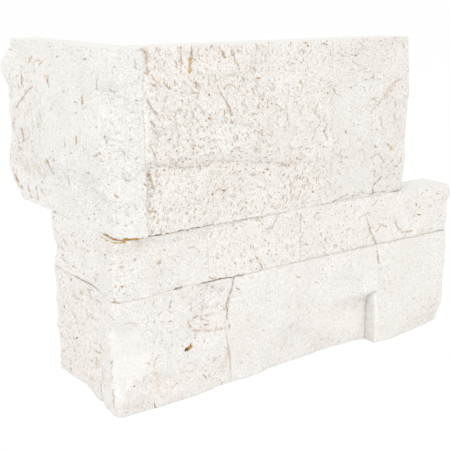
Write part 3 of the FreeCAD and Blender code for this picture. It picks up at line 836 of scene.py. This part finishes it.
marks = [
    *upper_seam,
    flecks(291, "#D2BC98", 0.8, (9, 0.45), 87, (-98, 90), (-62, 128)),
    flecks(298, "#CDB48C", 0.7, (5, 0.5), 82, (-98, 88), (-66, 122), 0.4),
    flecks(295, "#D5C3A4", 0.7, (6, 0.5), 92, (-40, 98), (-16, 116), 0.4),
    flecks(296, DIRT, 0.5, (2.2, 0.4), 12, (-9, 103), (13, 134), 0.4),
    flecks(297, DIRT, 0.45, (2.4, 0.4), -20, (-58, 80), (4, 100), 0.3),
    flecks(292, "#B88F5E", 0.6, (2.4, 0.8), 40, (-98, 128), (-66, 148), 0.3),
    flecks(293, "#B88F5E", 0.6, (2.8, 0.8), 100, (-100, 78), (-60, 100), 0.3),
    flecks(294, DIRT, 0.4, (2, 0.7), 30, (-60, 78), (-8, 102), 0.2),
    flecks(299, BROWN, 0.6, (2.6, 0.8), 150, (-8, 76), (6, 88), 0.3),
    crease, fold,
    stroke(BROWN, 0.75, 1, [(-72.8, 129.9), (-79.9, 127.1), (-85.1, 123), (-90.5, 118.8)], whole=0.6),
    stroke("#A87E3A", 0.8, 2.2, [(-61, 97.5), (-59.1, 95.5), (-57.3, 93.1)], whole=0.6),
    stroke(DARK, 0.45, 0.8, [(-60, 97.2), (-58, 95)], [(-42.2, 109.8), (-42.5, 106.8)],
           [(-54.3, 149.9), (-51.5, 148)]),
    stroke(RUST, 0.75, 1.6, [(-31.4, 112.7), (-31.6, 109.6)], [(-56.4, 133.6), (-55.8, 131.6)], whole=0.5),
    stroke("#B28E5C", 0.8, 1.8, [(-86, 109.6), (-85.6, 104)], whole=0.5),
    stroke(SHELL, 0.7, 0.8, [(-94, 105.7), (-87.5, 99.6)]),
    stroke("#B07A40", 0.8, 1.5, [(-0.5, 129.8)], whole=1),
    stroke(SHELL, 0.8, 1.2, [(-10.4, 137.9), (-10.7, 134)], whole=0.5),
    stroke(SAND, 0.8, 1.6, [(-24.1, 130), (-25.4, 126.7)], whole=0.5),
    stroke("#D9C29C", 0.7, 1.8, [(-22.8, 125.8)]),
    stroke(SHELL, 0.8, 1.2, [(-74.5, 141.2), (-72, 143.5)], [(-64.9, 140.1), (-59.3, 142.5)]),
    stroke(DIRT, 0.5, 0.7, [(-49.6, 147.2), (-53.7, 138.7)]),
    stroke(RUST, 0.75, 2, [(-84.6, 133.9), (-85.1, 129.9)], whole=0.5),
    stroke(SHELL, 0.7, 1.2, [(-91.8, 132.5), (-87.9, 127.3)], [(-67.2, 91.5), (-66.4, 88.9)],
           [(-43, 93.8), (-41.3, 91)]),
    stroke(DARK, 0.8, 0.7, [(-4.5, 116.3), (-2, 113.2)], whole=0.5),
    stroke("#8A642C", 0.65, 0.7, [(-13, 107.3), (-7.5, 109)]),
    stroke(DARK, 0.5, 0.5, [(-23.5, 99.6), (-13.7, 99.9)]),
    stroke("#9A743A", 0.65, 0.8, [(3, 100.7), (6, 99.2), (9, 99.4)]),
    stroke("#B08A44", 0.7, 2, [(-99, 88.6), (-95, 84), (-92.5, 79.8)]),
    stroke(SHELL, 0.5, 3, [(-95.5, 84.5), (-92.5, 80)]),
    stroke("#8A642C", 0.65, 1.2, [(-86.6, 82.2), (-82.7, 77.2)]),
    stroke("#B08A44", 0.7, 1.6, [(-77.2, 83.4), (-75.8, 77.1)]),
]
stone = split_stone(
    "upper_return_split_stone", upper_return, "x",
    limestone("upper_return", 9, hash=0.05, shells=0.06, pale="#FAF9F7", warm="#F2EFEA"), marks,
    behind=[0], broken_first=True)
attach(stone, "root")
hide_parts("upper_return_stone")

# Left stone of the upper course, the widest face: a limestone block dense with shells, creased across
# its middle and broken along its left joint, where it is glued to the end of the return stone.
upper_front_line = joint(112, line((0, 1), (0.6, 0.4), (1, -1.5)))
crease = stroke(DIRT, 0.3, 1.2,
                [(16.5, 104.2), (28.2, 101.6), (40.3, 100.6), (52.9, 102.2), (66.1, 99.9), (94, 95.4)])
proud = split_face(
    103, 0.6, 0.38,
    shelf(line((0, 0.39), (0.5, 0.36), (1, 0.27)), 1.4, 0.05),
    swell(0, 0.2, 0.07, 0.24, -2),
    swell(0.45, 0.68, 0.4, 0.3, 0.9),
    patch(2, line((0, 1), (0.9, 0)), line((0, 1), (0.38, 0))),
    patch(-1.4,
          line((0, 1), (0.04, 0)),
          line((0.42, 0), (0.5, 0.4), (0.57, 0.6), (0.65, 1), (0.72, 0.7), (0.84, 0.2), (0.88, 0))),
    lean(-0.3, -1),
    cuts=[(0.3, crease)])
upper_left = leg_skin(103, 1, upper_foot, upper_top, return_lap, upper_front_line, proud)
marks = [
    *upper_seam, crease,
    # Painted highlight along the left edge, which also lifts the shade in the joint beside it
    stroke("#FFFCF8", 0.8, 1.4, [(14.6, 106), (15, 121), (14.2, 129), (15.4, 139)], whole=0.6),
    stroke(BROWN, 0.8, 0.8, [(48.8, 133.4), (50.8, 128.8), (54.3, 124.1), (55.3, 121.1)], whole=0.6),
    stroke(BROWN, 0.7, 0.9, [(36.8, 149.6), (35.6, 144.5)],
           [(31.2, 149.7), (31.6, 145.8), (31.1, 141.6)],
           [(49.9, 149), (50.9, 147), (52.4, 144.6)], whole=0.4),
    stroke("#D0A458", 1.1, 1.3, [(35.6, 144.5), (34.8, 139.8)], whole=0.6),
    stroke(DARK, 0.5, 0.6, [(37, 148), (36, 143)]),
    stroke(BROWN, 0.65, 1.2, [(55.4, 148), (56.4, 145.6), (58.4, 141)], whole=0.4),
    stroke(SHELL, 0.8, 0.9, [(57.9, 148.8), (58.9, 146.3)], whole=0.4),
    stroke(DARK, 0.55, 0.8, [(21.6, 148.9), (22, 147)], [(15.8, 130.1), (18.8, 124.1)],
           [(16.6, 121.6), (19.6, 116)], [(109.2, 112.7), (107.5, 109.2), (109.4, 105.4)], whole=0.4),
    stroke(BROWN, 0.65, 1.4, [(15, 149.6), (16.2, 146.2), (16, 139.7)], whole=0.5),
    stroke(BROWN, 0.65, 0.6, [(17.5, 139.6), (21.9, 134.4)], whole=0.4),
    stroke(BROWN, 0.6, 0.7, [(16.6, 112.1), (19.2, 105.8)], [(84.7, 120), (85.9, 114.2)],
           [(102.1, 111), (100.5, 105.8)], [(108.8, 87.8), (109.7, 80.2)]),
    stroke("#9A743A", 0.6, 1.3, [(16.8, 100), (18.6, 94.1)]),
    stroke(SHELL, 0.7, 0.8, [(35.2, 131.9), (38.5, 131.3)], [(36.2, 136.6), (40, 133.2)],
           [(43.5, 138.6), (43.9, 135.4)], [(76.8, 133.4), (77.9, 130.8)], [(99.5, 120.6), (104.3, 115.8)]),
    flecks(301, "#9A743A", 0.6, (2.4, 0.8), 80, (14.5, 77), (19, 103), 0.6),
    flecks(302, "#A07A5A", 0.6, (2.8, 0.55), -4, (16, 95), (96, 106), 0.6),
    flecks(303, TAN, 0.65, (2.8, 0.6), 95, (14, 136), (80, 149), 0.4),
    flecks(304, TAN, 0.8, (3.2, 0.5), -57, (16, 104), (80, 137)),
    flecks(305, BROWN, 0.7, (3.2, 0.7), 82, (86, 78), (108, 100)),
    flecks(307, TAN, 0.6, (2.6, 0.6), 65, (16, 77), (104, 97), 0.4),
    flecks(308, BROWN, 0.6, (2.2, 0.6), 50, (16, 77), (34, 92), 0.4),
    flecks(306, DARK, 0.5, (1, 0.6), 40, (16, 77), (110, 148), 0.06),
]
stone = split_stone(
    "upper_left_split_stone", upper_left, "y",
    limestone("upper_left", 10, hash=0.27, shells=0.13, grit_and_pit_shade=0.6, pale="#FAF7F3", warm="#F2ECE4"), marks,
    broken_first=True)
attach(stone, "root")
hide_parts("upper_front_left_stone")

# Right stone of the upper course: a calmer limestone block, sawn at its right end, with a chipped
# bottom edge and a folded shell.
upper_front_end = joint(160, line((0, 0.3), (0.6, 0), (1, -0.8)))
chips = stroke("#94703C", 0.75, 0.5, [(113.6, 75.4), (118, 76.2), (121, 77), (124.2, 77.9), (126.5, 76.4),
               (131.9, 76.6), (133.1, 78.8), (134.5, 76.5), (139.8, 76.6), (150, 76.2)], whole=0.1)
proud = split_face(
    103, 0.5, 0.35,
    shelf(line((0, 0.27), (0.6, 0.1)), 1.4, 0.2),
    swell(0.22, 0, 0.08, 0.03, -0.6),
    patch(-1.5, line((0, 0), (1, 1)), line((0, 1), (0.5, 0))),
    lean(-0.3, -1),
    cuts=[(0.15, chips)])
upper_right = leg_skin(113, 1, upper_foot, upper_top, upper_front_line, upper_front_end, proud)
marks = [
    *upper_seam, chips,
    flecks(311, SHELL, 0.4, (2.4, 0.6), 10, (114, 135), (158, 149), 0.3),
    flecks(312, SHELL, 0.4, (2.4, 0.6), 75, (140, 84), (159, 128), 0.3),
    stroke(BROWN, 0.6, 0.8, [(134.1, 110.5), (136.2, 107.1)]),
    stroke(SHELL, 0.7, 0.8, [(141.7, 112.7), (143.3, 108.8)], [(112.9, 130), (113.7, 125.9)],
           [(115.2, 97.9), (122.1, 95.7)], [(127.1, 149.3), (127.8, 147.1)],
           [(152.9, 130.7), (144.7, 124.2), (136, 115.9)], [(154.9, 130.6), (147.3, 124.5), (138.5, 117.6)],
           [(131.4, 131), (136.5, 131.9), (141.7, 130.9)]),
    stroke(SAND, 0.7, 0.8, [(137.6, 94), (142.7, 95.9), (147, 91.1)]),
    flecks(313, SAND, 0.7, (2.4, 0.7), 60, (138, 82), (155, 97)),
    stroke("#C9AE80", 0.7, 2.4, [(150.6, 97.5)], whole=0.5),
    stroke(DIRT, 0.6, 0.7, [(151.2, 120.5), (151.3, 108.6)], [(121.3, 140.6), (127.6, 137.7)]),
    stroke(RUST, 0.6, 1, [(156, 147.5), (156.2, 144.7)]),
    stroke(DARK, 0.5, 0.6, [(113, 144), (118.2, 143), (125.5, 142.7)]),
    stroke("#F4F0EA", 0.7, 6, [(118.5, 134), (119.5, 116)]),
    stroke(DARK, 0.55, 0.9, [(131.5, 76.4), (133, 77)]),
    stroke(DIRT, 0.7, 1.2, [(136.8, 126.1)]),
    stroke("#8A642C", 0.8, 1, [(140.5, 76.6), (141, 80.5), (144.2, 82.1), (146.1, 83.8)], whole=0.3),
]
stone = split_stone(
    "upper_right_split_stone", upper_right, "y",
    limestone("upper_right", 11, hash=0.12, shells=0.15, cream=0.4, pale="#F6F4F1", warm="#EFE9E2"), marks)
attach(stone, "root")
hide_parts("upper_front_right_stone")

# Beds of cured amber resin, poured between the courses. At the outside corner of the upper bed it
# shows as an amber line. Elsewhere it is flush and dusted with stone, or held back in a dark line.
resin, tree = new_material("cured_amber_resin")
place = add(tree, "TexCoord").outputs["Object"]
cloud = add(tree, "TexNoise", {"Vector": place, "Scale": 1 / (4 * MM)})
amber = add(tree, "Mix", {0: cloud, 6: linear("#C8943C"), 7: linear("#8A5A1E")},
            data_type="RGBA").outputs[2]
dust = add(tree, "Attribute", attribute_name="marks")
amber = add(tree, "Mix", {0: dust.outputs["Alpha"], 6: amber, 7: dust.outputs["Color"]},
            data_type="RGBA").outputs[2]
rough = add(tree, "MapRange", {0: cloud, 1: 0.3, 2: 0.7, 3: 0.25, 4: 0.45})
surface = add(tree, "BsdfPrincipled", {"Base Color": amber, "Roughness": rough})
add(tree, "OutputMaterial", {"Surface": surface})


def resin_bed(name, foot, top, below, above, far, right, inset, dusted):
    """A thin plate whose edge follows the deeper of the faces above and below it, less an inset.

    inset gives how far it is held back and dusted how pale it shows, at a place along the legs.
    """
    along = np.concatenate([np.arange(-far, 0, 0.5), np.arange(0, right, 0.5)])
    edges = []
    for skins, row in ((below, -1), (above, 0)):
        edge = np.concatenate([skin[row] for skin in skins])
        edges.append([np.interp(along, edge[:, 3], edge[:, k]) for k in (0, 1)])
    x, y = np.maximum(*np.array(edges))
    x = x + inset(along) * (along < 1)
    y = y + inset(along) * (along > -1)
    outline = np.concatenate([np.column_stack([x, y]), [(x[-1], -1), (-1, -1), (-1, y[0])]])
    rings = np.stack([np.column_stack([outline, np.full(len(outline), z)]) for z in (foot, top)])
    bed = closed_rings(name, rings)
    bed.data.materials.append(resin)
    colours = np.zeros((2, len(outline), 4))
    colours[..., :3] = linear("#F2EEE8")[:3]
    colours[:, :len(along), 3] = dusted(along)
    paint(bed, colours)
    return bed


middle_course = (middle_return, middle_corner, middle_left, middle_right)
bed = resin_bed(
    "lower_resin_bed", lower_top, middle_foot, (lower_return, lower_corner, lower_middle, lower_right),
    middle_course, 55, 190,
    line((-13, 0.4), (-12, 0), (26.5, 0), (27, 0.4), (30.5, 0.4), (31, 0), (38, 0), (41, 0.3),
         (62, 0.3), (64, 0.1)),
    line((-13, 0), (-12, 1), (-3.5, 1), (-3, 0.3), (1, 0.3), (1.5, 0.8), (13, 0.8), (14, 1),
         (26.5, 1), (27, 0), (30.5, 0), (31, 1), (38, 1), (41, 0), (62, 0), (64, 0.9), (190, 0.8)))
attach(bed, "root")
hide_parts("lower_bed_resin")
bed = resin_bed(
    "upper_resin_bed", middle_top, upper_foot, middle_course, (upper_return, upper_left, upper_right),
    57, 156,
    line((-14, 0), (-13, 0.1), (11, 0.1), (12, 0), (13.3, 0), (13.8, 1.3), (44, 1.0), (47, 0.3),
         (68, 0.2), (72, 0)),
    line((-14, 1), (-13, 0), (11, 0), (12, 1), (13.3, 1), (13.8, 0), (45, 0), (50, 0.5), (68, 0.6),
         (72, 1)))
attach(bed, "root")
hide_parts("upper_bed_resin")
